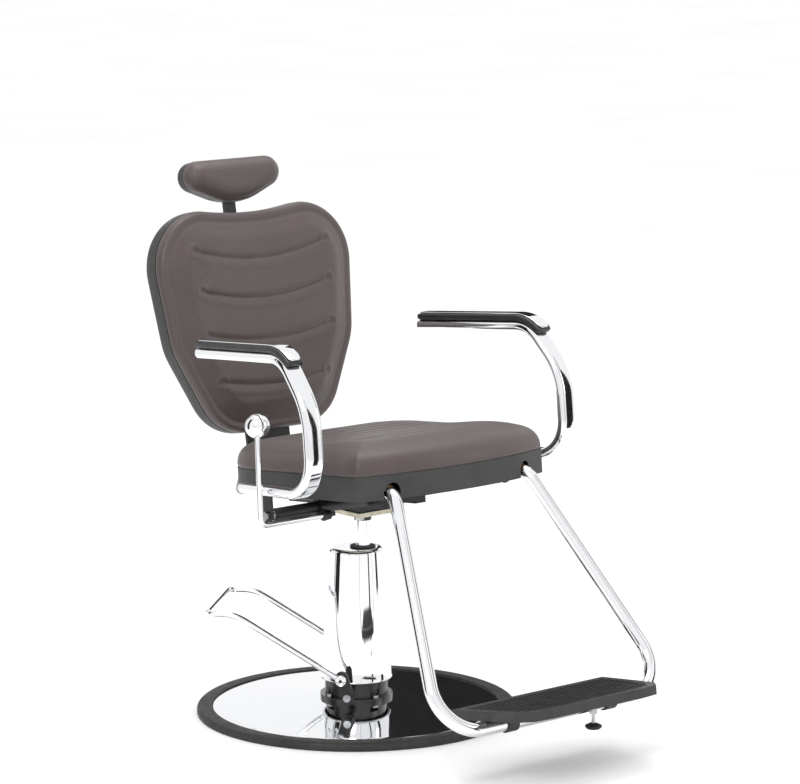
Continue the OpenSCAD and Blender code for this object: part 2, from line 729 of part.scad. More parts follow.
module rubber_bumper() color("#1c1c1c") translate([bumper_x, bar_y, bar_z - bumper_low])
  difference() {
    rotate_extrude($fn = round_fn) polygon([[0, 0], [bumper_d / 2 - 3, 0], [bumper_d / 2, 3],
      [bumper_d / 2, 6], [bumper_d / 2 - 8, 10], [0, 10]]);
    translate([0, 0, 5]) rod(7, 10);
  }

// ---------- recline lever ----------

guide_t = 6;
module lever_guide() color("#1c1c1c") on_seat() translate([-guide_x - guide_t / 2, 0, 0])
  rotate([90, 0, 90]) linear_extrude(guide_t) difference() {
    union() {
      translate([lever_y, lever_h]) circle(10, $fn = round_fn);
      translate([arm_foot_y, cross_h]) circle(cross_d / 2 + 4, $fn = round_fn);
      translate([lever_y, lever_h]) rotate(atan2(cross_h - lever_h, arm_foot_y - lever_y))
        translate([0, -7]) square([cross_h - lever_h + 4, 14]);
    }
    translate([lever_y, lever_h]) circle(lever_d / 2 + fit, $fn = round_fn);
    translate([arm_foot_y, cross_h]) circle(cross_d / 2, $fn = round_fn);
  }

lever_bend = 14;
lever_lean = 2.9;
lever_in = 160;
module lever_rod() color("#d8d8da") on_seat() translate([-lever_in, lever_y, lever_h])
  rotate([lever_lean, 0, 0]) rotate([0, -90, 0])
    bent([[lever_x - lever_in - lever_bend], [lever_bend, 90], [lever_l - lever_bend]])
      circle(d = lever_d - 2 * $thin, $fn = 32);

module lever_knob() color("#d8d8da") on_seat() translate([-lever_x, lever_y, lever_h])
  rotate([lever_lean, 0, 0]) difference() {
    translate([0, 0, lever_l]) sphere(d = knob_d, $fn = round_fn);
    translate([0, 0, lever_l - knob_d]) rod(lever_d + 2 * fit, knob_d);
  }

// A plate on the lever's inner end presses the gas spring's release pin.
flag_y = -58;
flag_t = 4;
module lever_flag() color("#1c1c1c") on_seat() difference() {
  union() {
    translate([-lever_in - 7, 0, 0]) rotate([90, 0, 90]) linear_extrude(7) {
      translate([lever_y, lever_h]) circle(9, $fn = round_fn);
      translate([lever_y, lever_h - 9]) square([flag_y + flag_t - lever_y, 7]);
    }
    translate([-lever_in - 7, flag_y - 2, lever_h - 9]) cube([gas_x + lever_in + 14, 6, 7]);
    translate([gas_x - 7, flag_y, lever_h - 9]) cube([14, flag_t, gas_h + 7 - lever_h + 9]);
  }
  translate([0, lever_y, lever_h]) across(-lever_in - 20, -lever_in + 1, lever_d);
}

pin_d = 5;
gas_front = -40;
gas_rear = 95;
pin_gap = 0.5;
module release_pin() color("#c8c8ca") on_seat()
  translate([gas_x, flag_y + flag_t + pin_gap, gas_h]) rotate([-90, 0, 0])
    rod(pin_d, gas_front + 9 - flag_y - flag_t);

module gas_cylinder() color("#1a1a1a") on_seat() difference() {
  union() {
    translate([gas_x, gas_front, gas_h]) rotate([-90, 0, 0]) rod(gas_d, gas_rear - gas_front);
    translate([gas_x, 0, gas_h - 6]) cube([-gas_x - rail_x - rail_w / 2, 16, 12]);
  }
  translate([gas_x, gas_front - 1, gas_h]) rotate([-90, 0, 0]) rod(pin_d + 2 * fit, 17);
  translate([gas_x, 5, gas_h]) rotate([-90, 0, 0]) rod(gas_rod_d + 2 * fit, gas_rear);
}

// ---------- back hinge ----------

pin_y = hinge_y + crank_r * sin(crank_rest);
pin_h = hinge_h - crank_r * cos(crank_rest);
eye_slack = 2.4;                     // room for the crank pin's arc in the rod's eye
eye_w = 11;
module gas_rod() color("#c8c8ca") on_seat() {
  translate([gas_x, 45, gas_h]) rotate([-90, 0, 0]) rod(gas_rod_d, pin_y - 45 - 8);
  translate([gas_x - eye_w / 2, pin_y, gas_h]) rotate([0, 90, 0])
    ring(20, crank_pin_d + 2 * eye_slack, eye_w);
}

crank_t = 4;
module hinge_shaft() color("#5c5c5e") on_seat() {
  translate([0, hinge_y, hinge_h]) across(gas_x - 12, rail_x + 12, hinge_d);
  for (side = [-1, 1]) translate([gas_x + side * (eye_w / 2 + 1 + crank_t / 2) - crank_t / 2, 0, 0])
    rotate([90, 0, 90]) linear_extrude(crank_t) {
      translate([hinge_y, hinge_h]) circle(13, $fn = round_fn);
      translate([pin_y, pin_h]) circle(9, $fn = round_fn);
      translate([hinge_y, hinge_h]) rotate(crank_rest) translate([-9, -crank_r]) square([18, crank_r]);
    }
  translate([0, pin_y, pin_h]) across(gas_x - 12, gas_x + 12, crank_pin_d);
}

bracket_t = 6;
bracket_y = 16;                      // depth of the bracket's upright behind the pad's seam
bracket_bend = 35;
// The hinge axis seen from the backrest's own frame.
axis_dy = hinge_y * cos(seat_tilt) + hinge_h * sin(seat_tilt) - back_y;
axis_dz = seat_z - hinge_y * sin(seat_tilt) + hinge_h * cos(seat_tilt) - back_z;
axis_y = axis_dy * cos(back_lean) - axis_dz * sin(back_lean);
axis_s = axis_dy * sin(back_lean) + axis_dz * cos(back_lean);
lug_room = 20;
bracket_up = 240;

module back_bracket() color("#1e1e1e") difference() {
  on_back() {
    translate([0, axis_y + lug_room, axis_s]) rotate([-90, 0, 0])
      bracket_path() square([bracket_w - 2 * $thin, bracket_t - 2 * $thin], center = true);
    translate([-30, axis_y, axis_s - bracket_t / 2]) cube([60, lug_room + 2, bracket_t]);
  }
  on_seat() translate([0, hinge_y, hinge_h]) across(-100, 100, hinge_d + 2 * fit);
  on_back() back_screw_places() rod(6 + 2 * fit, 60);
}

// Rearwards from the hinge, then up behind the board.
module bracket_path() rotate([0, 0, -90])
  bent([[bracket_y - bracket_bend - axis_y - lug_room], [bracket_bend, 90],
    [bracket_up - axis_s - bracket_bend]]) rotate(90) children();

module back_screw_places() for (x = [-1, 1], s = [60, 130, 200])
  translate([x * bracket_w / 4, -5, s]) rotate([-90, 0, 0]) children();

// ---------- backrest ----------

lobe_r = 110;
mid_r = 120;
low_r = 100;
dip_r = 725;
module back_outline() difference() {
  hull() for (x = [-1, 1]) {
    translate([x * (back_w / 2 - lobe_r), back_l - lobe_r]) circle(lobe_r, $fn = 96);
    translate([x * (back_w / 2 - mid_r - 13), back_l - 228]) circle(mid_r, $fn = 96);
    translate([x * (back_w / 2 - low_r - 60), low_r]) circle(low_r, $fn = 96);
  }
  translate([0, back_l - 10 + dip_r]) circle(dip_r, $fn = 400);
}

board_y = 12;
module back_board() color("#b08a5a") difference() {
  on_back() slab(0.5, board_y - 0.5) offset(delta = -6) back_outline();
  on_back() back_screw_places() rod(6 + 2 * fit, 60);
}

shell_wall = 3;
shell_layers = [[0, 0], [29, 2], [37, 9], [40, 34]];  // depth and inset of the shell's outside
module shell_solid(grow) for (i = [0:2]) hull() for (k = [i, i + 1])
  slab(shell_layers[k][0] - (k == 0 ? grow : 0), 0.1)
    offset(delta = -shell_layers[k][1] - shell_wall * grow) back_outline();

module back_shell() color("#363636") on_back() difference() {
  shell_solid(0);
  translate([0, -shell_wall, 0]) shell_solid(1);
  translate([-bracket_w / 2 - 2, bracket_y - bracket_t / 2 - 2, -20])
    cube([bracket_w + 4, bracket_t + 4, 60]);
}

pad_crown = 36;
module back_pad() color("#6b5d5b") on_back() difference() {
  hull() {
    slab(-14, 14 - gap) offset(delta = -1) back_outline();
    slab(1 - back_pad_t, 1) offset(delta = -8) back_outline();
    slab(-pad_crown, 1) offset(delta = -30) back_outline();
  }
  slab(-pad_crown - 5, pad_crown + 10) translate([0, back_l - 10 + dip_r]) circle(dip_r + 1, $fn = 400);
}

module back_screws() color("#8c8c8e") on_back() back_screw_places() {
  translate([0, 0, 5.5]) rod(6, bracket_y + bracket_t / 2 + 2);
  translate([0, 0, 5 + bracket_y + bracket_t / 2]) cylinder(d = 11, h = 5, $fn = 6);
}

// ---------- headrest ----------

guide_low = back_l - 140;
guide_l = 90;
guide_y = 40.5;
stem_gap = 4;
module headrest_guide() color("#202020") on_back() difference() {
  translate([-stem_w / 2 - 8, guide_y, guide_low]) cube([stem_w + 16, stem_t + 2 * stem_gap + 4, guide_l]);
  translate([-stem_w / 2 - fit, guide_y + stem_gap + 2 - fit, guide_low - 1])
    cube([stem_w + 2 * fit, stem_t + 2 * fit, guide_l + 2]);
}

stem_mid = guide_y + stem_gap + 2 + stem_t / 2;
stem_low = guide_low - 100;
head_low = back_l + head_gap;
module headrest_stem() color("#1c1c1c") on_back()
  translate([-stem_w / 2, stem_mid - stem_t / 2, stem_low]) cube([stem_w, stem_t, head_low + 40 - stem_low]);

head_corner = 30;
head_bow = 143;                      // radius of the headrest's curved lower edge
module head_outline() offset(r = head_corner) offset(delta = -head_corner) intersection() {
  translate([0, head_low + head_bow]) circle(head_bow, $fn = 128);
  translate([-head_w / 2, head_low]) square([head_w, head_h]);
}

head_seam = 40;
module headrest_shell() color("#1f1f1f") on_back() difference() {
  hull() {
    slab(head_seam, 17) offset(delta = -1) head_outline();
    slab(head_seam + 24, 1) offset(delta = -12) head_outline();
  }
  translate([-stem_w / 2, stem_mid - stem_t / 2, head_low - 30]) cube([stem_w, stem_t, 70]);
}

module headrest_pad() color("#6b5d5b") on_back() hull() {
  slab(head_seam - 18, 18 - gap) head_outline();
  slab(head_seam - 28, 1) offset(delta = -8) head_outline();
  slab(head_seam - 34, 1) offset(delta = -20) head_outline();
}

rubber_ring();
base_dish();
base_plate();
pump_housing();
housing_bolts();
pump_cylinder();
gland_nut();
pump_cover();
rod_wiper();
release_valve();
piston_rod();
piston_head();
pedal_shaft();
pedal_arms();
foot_pedal();
pedal_bolts();
pump_plunger();
seat_collar();
mount_plate();
mount_bolts();
seat_frame();
arm_cross_tube();
arm_brackets();
arm_bolts();
arm_tube_left();
arm_tube_right();
arm_pad_left();
arm_pad_right();
pad_trim_left();
pad_trim_right();
seat_pan();
seat_board();
seat_cushion();
board_bolts();
footrest_tube();
footrest_saddles();
footplate();
plate_clamps();
plate_bolts();
bumper_stem();
rubber_bumper();
lever_guide();
gas_cylinder();
lever_rod();
lever_knob();
lever_flag();
release_pin();
gas_rod();
hinge_shaft();
back_bracket();
back_board();
back_shell();
back_pad();
back_screws();
headrest_guide();
headrest_stem();
headrest_shell();
headrest_pad();
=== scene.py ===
import math

import bpy
import numpy as np
from mathutils import Matrix, Vector


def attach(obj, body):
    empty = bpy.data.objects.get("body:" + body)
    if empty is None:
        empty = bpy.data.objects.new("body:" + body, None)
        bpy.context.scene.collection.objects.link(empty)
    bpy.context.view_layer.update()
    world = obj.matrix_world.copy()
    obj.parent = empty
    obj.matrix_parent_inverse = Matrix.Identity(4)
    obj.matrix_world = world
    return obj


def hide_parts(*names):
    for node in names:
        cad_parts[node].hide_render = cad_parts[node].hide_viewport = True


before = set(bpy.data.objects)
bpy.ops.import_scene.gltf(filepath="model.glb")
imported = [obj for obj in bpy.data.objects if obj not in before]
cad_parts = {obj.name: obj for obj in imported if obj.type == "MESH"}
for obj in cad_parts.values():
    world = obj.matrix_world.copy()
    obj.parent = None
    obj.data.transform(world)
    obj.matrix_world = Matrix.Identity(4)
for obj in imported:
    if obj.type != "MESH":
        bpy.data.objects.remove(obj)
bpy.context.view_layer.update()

# ---------------------------------------------------------------------------
# Rubber ring. A moulded black rubber channel is stretched round the dish's rim
# so that the steel does not mark the floor. It is lathed from its own section.
# ---------------------------------------------------------------------------
BASE_MIDDLE = Vector((0.0135 * math.cos(math.radians(131)), 0.0135 * math.sin(math.radians(131)), 0))
RIM_RADIUS = 0.300
DISH_RADIUS = 0.273
RIM_HEIGHT = 0.015


def linear(colour):
    """An sRGB hex value as the linear colour that a shader takes."""
    parts = [int(colour[i:i + 2], 16) / 255 for i in (1, 3, 5)]
    return [c / 12.92 if c <= 0.04045 else ((c + 0.055) / 1.055) ** 2.4 for c in parts] + [1]


def add(tree, kind, inputs=None, **settings):
    """Adds one node with its settings, and its inputs as values or as links."""
    node = tree.nodes.new(kind)
    for name, value in settings.items():
        setattr(node, name, value)
    for name, value in (inputs or {}).items():
        if isinstance(value, bpy.types.NodeSocket):
            tree.links.new(value, node.inputs[name])
        else:
            node.inputs[name].default_value = value
    return node


def mm(size):
    """Noise or cell scale that repeats about once every size millimetres."""
    return 1000 / size


def new_material(name, colour=None, rough=None, relief=None, stretch=(1, 1, 1), **even):
    """A material with one Principled shader, whose even values are set on its own sockets.

    What varies does so by soft noise. Colour is (size, dark, light), roughness (size, low, high)
    and relief (size, depth, strength), with sizes and depth in millimetres and, where it isn't
    3, the noise's detail as a fourth value.
    """
    material = bpy.data.materials.new(name)
    material.use_nodes = True
    tree = material.node_tree
    shader = tree.nodes["Principled BSDF"]
    for key, value in even.items():
        shader.inputs[key.replace("_", " ")].default_value = value
    for socket, varied in (("Base Color", colour), ("Roughness", rough), ("Normal", relief)):
        if not varied:
            continue
        size, first, last, detail = (*varied, 3.0)[:4]
        place = add(tree, "ShaderNodeTexCoord").outputs["Object"]
        place = add(tree, "ShaderNodeMapping", {"Vector": place, "Scale": stretch}).outputs["Vector"]
        noise = add(tree, "ShaderNodeTexNoise", {"Vector": place, "Scale": mm(size), "Detail": detail})
        low, high = (first, last) if socket == "Roughness" else (0, 1)
        amount = add(tree, "ShaderNodeMapRange", {"Value": noise.outputs["Fac"], "From Min": 0.3,
                     "From Max": 0.7, "To Min": low, "To Max": high}).outputs["Result"]
        if socket == "Base Color":
            ramp = add(tree, "ShaderNodeValToRGB", {"Fac": amount})
            for element, shade in zip(ramp.color_ramp.elements, (first, last)):
                element.color = linear(shade)
            amount = ramp.outputs["Color"]
        elif socket == "Normal":
            bump = add(tree, "ShaderNodeBump", {"Height": amount, "Distance": first / 1000, "Strength": last})
            amount = bump.outputs["Normal"]
        tree.links.new(amount, shader.inputs[socket])
    return material


# Moulded rubber: dull, faintly dusty, with a fine orange-peel skin from the mould.
rubber = new_material("moulded black rubber", colour=(30, "#1C1C1C", "#2A2A29"),
                      rough=(12, 0.52, 0.70), relief=(1.5, 0.08, 0.5))


def new_piece(name, points, faces, material, smooth=True):
    mesh = bpy.data.meshes.new(name)
    mesh.from_pydata([tuple(p) for p in points], [], faces)
    mesh.validate()
    mesh.materials.append(material)
    for polygon in mesh.polygons:
        polygon.use_smooth = smooth
    piece = bpy.data.objects.new(name, mesh)
    bpy.context.scene.collection.objects.link(piece)
    return piece


def crease(piece, angle=35):
    """Edges sharper than the angle stay crisp in the shading."""
    bpy.context.view_layer.objects.active = piece
    piece.select_set(True)
    bpy.ops.object.shade_smooth_by_angle(angle=math.radians(angle))
    piece.select_set(False)


def lathe(name, profile, material, middle=(0, 0, 0), steps=256):
    """Turns a closed profile of (radius, height) points round the vertical through middle."""
    points, faces, count = [], [], len(profile)
    for k in range(steps):
        turn = 2 * math.pi * k / steps
        points += [(middle[0] + r * math.cos(turn), middle[1] + r * math.sin(turn), middle[2] + z)
                   for r, z in profile]
    for k in range(steps):
        here, there = k * count, (k + 1) % steps * count
        faces += [(here + i, there + i, there + (i + 1) % count, here + (i + 1) % count)
                  for i in range(count)]
    piece = new_piece(name, points, faces, material)
    crease(piece)
    return piece


def arc(cx, cz, radius, start, end, steps=8):
    """Points of a circular arc in a section, its angles in degrees."""
    turns = [math.radians(start + (end - start) * i / steps) for i in range(steps + 1)]
    return [(cx + radius * math.cos(t), cz + radius * math.sin(t)) for t in turns]


ring_section = [(DISH_RADIUS + 0.0002, 0.0005), (RIM_RADIUS - 0.002, 0)]
ring_section += arc(RIM_RADIUS - 0.0035, 0.0035, 0.0035, -60, 0, 5)
ring_section += arc(RIM_RADIUS - 0.0075, RIM_HEIGHT - 0.0075, 0.0075, 0, 85, 10)
ring_section += arc(DISH_RADIUS - 0.001, RIM_HEIGHT - 0.0016, 0.0016, 95, 200, 6)
ring_section += [(DISH_RADIUS - 0.0028, RIM_HEIGHT - 0.0028), (DISH_RADIUS + 0.0002, RIM_HEIGHT - 0.0028)]
ring = lathe("rubber_rim", ring_section, rubber, BASE_MIDDLE)
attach(ring, "base")
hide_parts("rubber_ring")

# ---------------------------------------------------------------------------
# Base dish. Spun steel, polished and chrome plated. It rises gently from the
# rubber ring to the pump and is bolted through to a flat plate beneath.
# ---------------------------------------------------------------------------
DISH_TOP = 0.028
FLANGE_RADIUS = 0.068

# Chrome plate: a near-mirror that picks up the studio, with polishing haze and faint waviness.
chrome = new_material("chrome-plated steel", Base_Color=linear("#E9EAEC"), Metallic=1.0,
                      rough=(60, 0.035, 0.075), relief=(55, 0.10, 0.35, 1.0))

dish_section = [(0.030, DISH_TOP), (FLANGE_RADIUS + 0.012, DISH_TOP)]
dish_section += [(FLANGE_RADIUS + 0.012 + (DISH_RADIUS - 0.004 - FLANGE_RADIUS - 0.012) * t,
                  RIM_HEIGHT - 0.0015 + (DISH_TOP - RIM_HEIGHT + 0.0015) * (1 - t) ** 1.12)
                 for t in [i / 14 for i in range(1, 15)]]
dish_section += [(DISH_RADIUS - 0.0005, RIM_HEIGHT - 0.004), (DISH_RADIUS - 0.0005, 0.002),
                 (DISH_RADIUS - 0.002, 0.002), (DISH_RADIUS - 0.003, RIM_HEIGHT - 0.006),
                 (FLANGE_RADIUS, DISH_TOP - 0.0028), (0.030, DISH_TOP - 0.002)]
dish = lathe("spun_dish", dish_section, chrome, BASE_MIDDLE, 360)
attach(dish, "base")
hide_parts("base_dish")

# ---------------------------------------------------------------------------
# Plate, pump housing, valve and bolts. The housing is an iron casting in black
# paint; the plate is powder coated; the bolts and the valve are zinc plated.
# ---------------------------------------------------------------------------


def dress(material, *names):
    """Gives these CAD nodes a material and smooth shading between their real edges."""
    for name in names:
        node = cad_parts[name]
        node.data.materials.clear()
        node.data.materials.append(material)
        crease(node, 32)


# Powder coat: a thin satin black film with the usual fine orange peel.
powder_coat = new_material("black powder-coated steel", colour=(40, "#141414", "#1E1E1F"),
                           rough=(20, 0.34, 0.50), relief=(1.8, 0.06, 0.5))

# Painted iron casting: rougher skin left by the sand under a glossy black enamel.
casting = new_material("black enamelled iron casting", Roughness=0.30, Coat_Weight=0.4,
                       Coat_Roughness=0.1, colour=(25, "#0D0D0E", "#19191A"),
                       relief=(3.5, 0.25, 0.6))

# Bright zinc plate: a soft grey metal with slight clouding.
zinc = new_material("bright zinc-plated steel", Metallic=1.0, colour=(14, "#9A9B9E", "#C3C4C6"),
                    rough=(6, 0.22, 0.40))

dress(powder_coat, "base_plate")
dress(casting, "pump_housing")
dress(zinc, "housing_bolts", "release_valve", "pump_cylinder", "gland_nut", "piston_head", "pump_plunger")
dress(rubber, "rod_wiper")

# ---------------------------------------------------------------------------
# Pump cover. A spun steel cone, chrome plated, dropped over the pump cylinder;
# its rolled top edge seats on the gland nut.
# ---------------------------------------------------------------------------
COVER_LOW = 0.066
COVER_TOP = 0.315
cover_section = [(0.0630, COVER_LOW + 0.0002), (0.0664, COVER_LOW)]
cover_section += arc(0.0662, COVER_LOW + 0.0010, 0.0010, -40, 60, 4)
cover_section += [(0.0662 - (0.0662 - 0.0505) * t, COVER_LOW + 0.003 + (COVER_TOP - 0.011 - COVER_LOW) * t)
                  for t in [i / 12 for i in range(13)]]
cover_section += arc(0.0425, COVER_TOP - 0.008, 0.008, 6, 88, 9)
cover_section += [(0.0290, COVER_TOP - 0.0002), (0.0290, COVER_TOP - 0.0015), (0.0420, COVER_TOP - 0.0016),
                  (0.0488, COVER_TOP - 0.009)]
cover = lathe("spun_cover", cover_section, chrome, BASE_MIDDLE)


def plain_lid(name, inner, outer_middle, outer, z, material, steps=128):
    """A flat ring whose round hole is off its middle, as where the rod passes the cover."""
    points, faces = [], []
    for k in range(steps):
        turn = Vector((math.cos(2 * math.pi * k / steps), math.sin(2 * math.pi * k / steps), 0))
        points += [turn * inner + Vector((0, 0, z)), outer_middle + turn * outer + Vector((0, 0, z))]
    for k in range(steps):
        a, b = 2 * k, 2 * ((k + 1) % steps)
        faces.append((a, a + 1, b + 1, b))
    return new_piece(name, points, faces, material)


lid = plain_lid("cover_top", 0.0200, BASE_MIDDLE, 0.0425, COVER_TOP - 0.0003, chrome)
for piece in (cover, lid):
    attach(piece, "base")
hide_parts("pump_cover")

# ---------------------------------------------------------------------------
# Pump pedal. A chromed steel bar, bent to a closed loop, is pinned between two
# black arms on the pump's cross shaft.
# ---------------------------------------------------------------------------
PEDAL_ANGLE = 131
PEDAL_WIDTH = 0.208
PEDAL_BAR = 0.011
PEDAL_ROOT = (0.012, 0.082)
PEDAL_REACH = 0.264
PEDAL_SLOPE = 31
PEDAL_BEND = 0.090
PEDAL_CORNER = 0.016
PEDAL_TIP = 0.012


def turned(axis, degrees):
    return Matrix.Rotation(math.radians(degrees), 4, axis)


def run(steps, start):
    """The frames along straight lengths (length,) and bends (radius, degrees, roll)."""
    frames, here = [start.copy()], start.copy()
    for step in steps:
        if len(step) == 1:
            pieces = max(1, int(step[0] / 0.03))
            frames += [here @ Matrix.Translation((0, 0, step[0] * (i + 1) / pieces)) for i in range(pieces)]
        else:
            radius, angle, roll = step
            pieces = max(6, int(angle / 4))
            for i in range(pieces):
                part = math.radians(angle * (i + 1) / pieces)
                frames.append(here @ turned("Z", roll)
                              @ Matrix.Translation((radius * (1 - math.cos(part)), 0, radius * math.sin(part)))
                              @ turned("Y", math.degrees(part)) @ turned("Z", -roll))
        here = frames[-1]
    return frames


def sweep(name, section, frames, material, closed=False, cap=True, sizes=None):
    """Carries a section along frames. sizes scales it at each frame."""
    points, faces, count = [], [], len(section)
    for i, at in enumerate(frames):
        sx, sy = sizes[i] if sizes else (1, 1)
        points += [at @ Vector((x * sx, y * sy, 0)) for x, y in section]
    loops = len(frames)
    for i in range(loops if closed else loops - 1):
        here, there = i * count, (i + 1) % loops * count
        faces += [(here + k, here + (k + 1) % count, there + (k + 1) % count, there + k) for k in range(count)]
    if cap and not closed:
        faces += [tuple(range(count))[::-1], tuple((loops - 1) * count + k for k in range(count))]
    piece = new_piece(name, points, faces, material)
    crease(piece, 50)
    return piece


def circle(diameter, sides=32):
    return [(diameter / 2 * math.cos(2 * math.pi * k / sides), diameter / 2 * math.sin(2 * math.pi * k / sides))
            for k in range(sides)]


def mirrored(name, piece, axis_frame=Matrix.Identity(4)):
    """A copy on the other side of the X plane of that frame."""
    copy = piece.copy()
    copy.data = piece.data.copy()
    copy.name = copy.data.name = name
    bpy.context.scene.collection.objects.link(copy)
    copy.data.transform(axis_frame @ Matrix.Diagonal((-1, 1, 1, 1)) @ axis_frame.inverted())
    copy.data.flip_normals()
    return copy


slope = math.radians(PEDAL_SLOPE)
pedal_run = (PEDAL_REACH - PEDAL_ROOT[0] - PEDAL_BEND * math.sin(slope) - PEDAL_TIP - PEDAL_CORNER) / math.cos(slope)
on_base = Matrix.Translation(BASE_MIDDLE) @ turned("Z", PEDAL_ANGLE)
pedal_start = (on_base @ Matrix.Translation((PEDAL_ROOT[0], -PEDAL_WIDTH / 2, PEDAL_ROOT[1]))
               @ turned("Y", 90 - PEDAL_SLOPE))
pedal_path = run([(pedal_run,), (PEDAL_BEND, PEDAL_SLOPE, 0), (PEDAL_TIP,), (PEDAL_CORNER, 90, 90),
                  (PEDAL_WIDTH / 2 - PEDAL_CORNER,)], pedal_start)
pedal = sweep("pedal_bar_right", circle(PEDAL_BAR), pedal_path, chrome)
pedal_far = mirrored("pedal_bar_left", pedal, on_base @ turned("Z", 90))
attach(pedal_far, "pedal")
for side in (-1, 1):
    eye_start = (on_base @ Matrix.Translation((PEDAL_ROOT[0], side * PEDAL_WIDTH / 2 - 0.006, PEDAL_ROOT[1]))
                 @ turned("X", -90))
    eye_frames = [eye_start @ Matrix.Translation((0, 0, z)) for z in (0, 0.0008, 0.0112, 0.012)]
    eye = sweep("pedal_eye_left" if side > 0 else "pedal_eye_right", circle(0.020, 48), eye_frames, chrome,
                sizes=[(0.93, 0.93), (1, 1), (1, 1), (0.93, 0.93)])
    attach(eye, "pedal")
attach(pedal, "pedal")
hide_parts("foot_pedal")
dress(zinc, "pedal_shaft")
dress(powder_coat, "pedal_arms", "pedal_bolts")

# ---------------------------------------------------------------------------
# Piston rod and swivel. Ground and chromed steel, topped by a black plastic
# collar, the cream zinc mounting plate and its four bolts.
# ---------------------------------------------------------------------------
# Cream passivated zinc: matt, slightly yellow, mottled by the dip.
passivated = new_material("cream passivated zinc plate", Metallic=0.45,
                          colour=(18, "#BDB59C", "#E2DCC8"), rough=(9, 0.36, 0.55))

# Moulded ABS: charcoal black with a fine spark texture that scatters the light.
abs_plastic = new_material("textured black ABS moulding", colour=(50, "#2B2B2C", "#343435"),
                           rough=(15, 0.44, 0.56))
tree = abs_plastic.node_tree
place = add(tree, "ShaderNodeTexCoord").outputs["Object"]
cells = add(tree, "ShaderNodeTexVoronoi", {"Vector": place, "Scale": mm(1.6)})
spark = add(tree, "ShaderNodeBump", {"Height": cells.outputs["Distance"], "Distance": 0.10 / 1000, "Strength": 0.35})
tree.links.new(spark.outputs["Normal"], tree.nodes["Principled BSDF"].inputs["Normal"])

dress(chrome, "piston_rod")
dress(abs_plastic, "seat_collar")
dress(passivated, "mount_plate")
dress(zinc, "mount_bolts")

# ---------------------------------------------------------------------------
# Seat frame and cross tube. Welded box section and tube, powder coated black,
# with the brackets and bolts that hold the arms.
# ---------------------------------------------------------------------------
dress(powder_coat, "seat_frame", "arm_cross_tube", "arm_brackets", "lever_guide")
dress(zinc, "arm_bolts", "board_bolts", "footrest_saddles")

# ---------------------------------------------------------------------------
# Arms. Oblong steel tube, bent to an open loop and chrome plated. Each carries
# a black polyurethane pad with a bright strip let into its top.
# ---------------------------------------------------------------------------
SEAT_HEIGHT = 0.486
SEAT_TILT = 5.2
ARM_X = 0.266
ARM_REAR = 0.114
ARM_TOP = 0.219
ARM_TOE = 6
ARM_STEPS = [(0.247,), (0.070, 52, 0), (0.038,), (0.120, 38, 0), (0.042,), (0.068, 90, 0), (0.163,)]
TUBE_T, TUBE_W, TUBE_WALL = 0.020, 0.038, 0.002
PAD_T, PAD_W = 0.012, 0.039
TRIM_T = 0.0025

on_seat = Matrix.Translation((0, 0, SEAT_HEIGHT)) @ turned("X", -SEAT_TILT)
along_arm = (on_seat @ Matrix.Translation((-ARM_X, ARM_REAR, ARM_TOP)) @ turned("Z", -ARM_TOE)
             @ turned("X", 90) @ turned("Z", -90))


def oblong(thick, wide, sides=20):
    """A slot-shaped section: straight flats and half-round edges."""
    reach = (wide - thick) / 2
    top = [(thick / 2 * math.cos(math.pi * k / sides), reach + thick / 2 * math.sin(math.pi * k / sides))
           for k in range(sides + 1)]
    return top + [(-x, -y) for x, y in top]


def open_tube(name, outer, inner, frames, material):
    """A tube with a wall, open at both ends."""
    shell = sweep(name, outer, frames, material, cap=False)
    mesh = shell.data
    count, loops = len(outer), len(frames)
    points = [v.co.copy() for v in mesh.vertices]
    faces = [tuple(p.vertices) for p in mesh.polygons]
    first = len(points)
    for at in frames:
        points += [at @ Vector((x, y, 0)) for x, y in inner]
    for i in range(loops - 1):
        here, there = first + i * count, first + (i + 1) * count
        faces += [(there + k, there + (k + 1) % count, here + (k + 1) % count, here + k) for k in range(count)]
    for k in range(count):
        n = (k + 1) % count
        faces.append((n, k, first + k, first + n))
        last = (loops - 1) * count
        faces.append((last + k, last + n, first + last + n, first + last + k))
    bpy.data.objects.remove(shell)
    tube = new_piece(name, points, faces, material)
    crease(tube, 50)
    return tube


arm_frames = run(ARM_STEPS, along_arm)
arm_loop = open_tube("arm_loop_left", oblong(TUBE_T, TUBE_W),
                      oblong(TUBE_T - 2 * TUBE_WALL, TUBE_W - 2 * TUBE_WALL), arm_frames, chrome)
arm_loop_far = mirrored("arm_loop_right", arm_loop)

# Self-skinned polyurethane foam: satin black, very slightly grained by its mould.
arm_foam = new_material("self-skinned polyurethane foam", colour=(35, "#1B1B1C", "#262627"),
                        rough=(8, 0.36, 0.5), relief=(1.5, 0.05, 0.5))


def rounded(thick, wide, radius, steps=6):
    """A rectangle with rounded corners."""
    out = []
    for sx, sy, start in ((1, 1, 0), (-1, 1, 90), (-1, -1, 180), (1, -1, 270)):
        cx, cy = sx * (thick / 2 - radius), sy * (wide / 2 - radius)
        out += arc(cx, cy, radius, start, start + 90, steps)
    return out


def end_sizes(frames, length, least):
    """Section sizes that round a strip off at both ends over that length."""
    gone = [0]
    for a, b in zip(frames, frames[1:]):
        gone.append(gone[-1] + (b.translation - a.translation).length)
    out = []
    for g in gone:
        near = min(g, gone[-1] - g)
        part = min(1.0, near / length)
        grow = math.sqrt(max(0, 1 - (1 - part) ** 2))
        out.append((least[0] + (1 - least[0]) * grow, least[1] + (1 - least[1]) * grow))
    return out


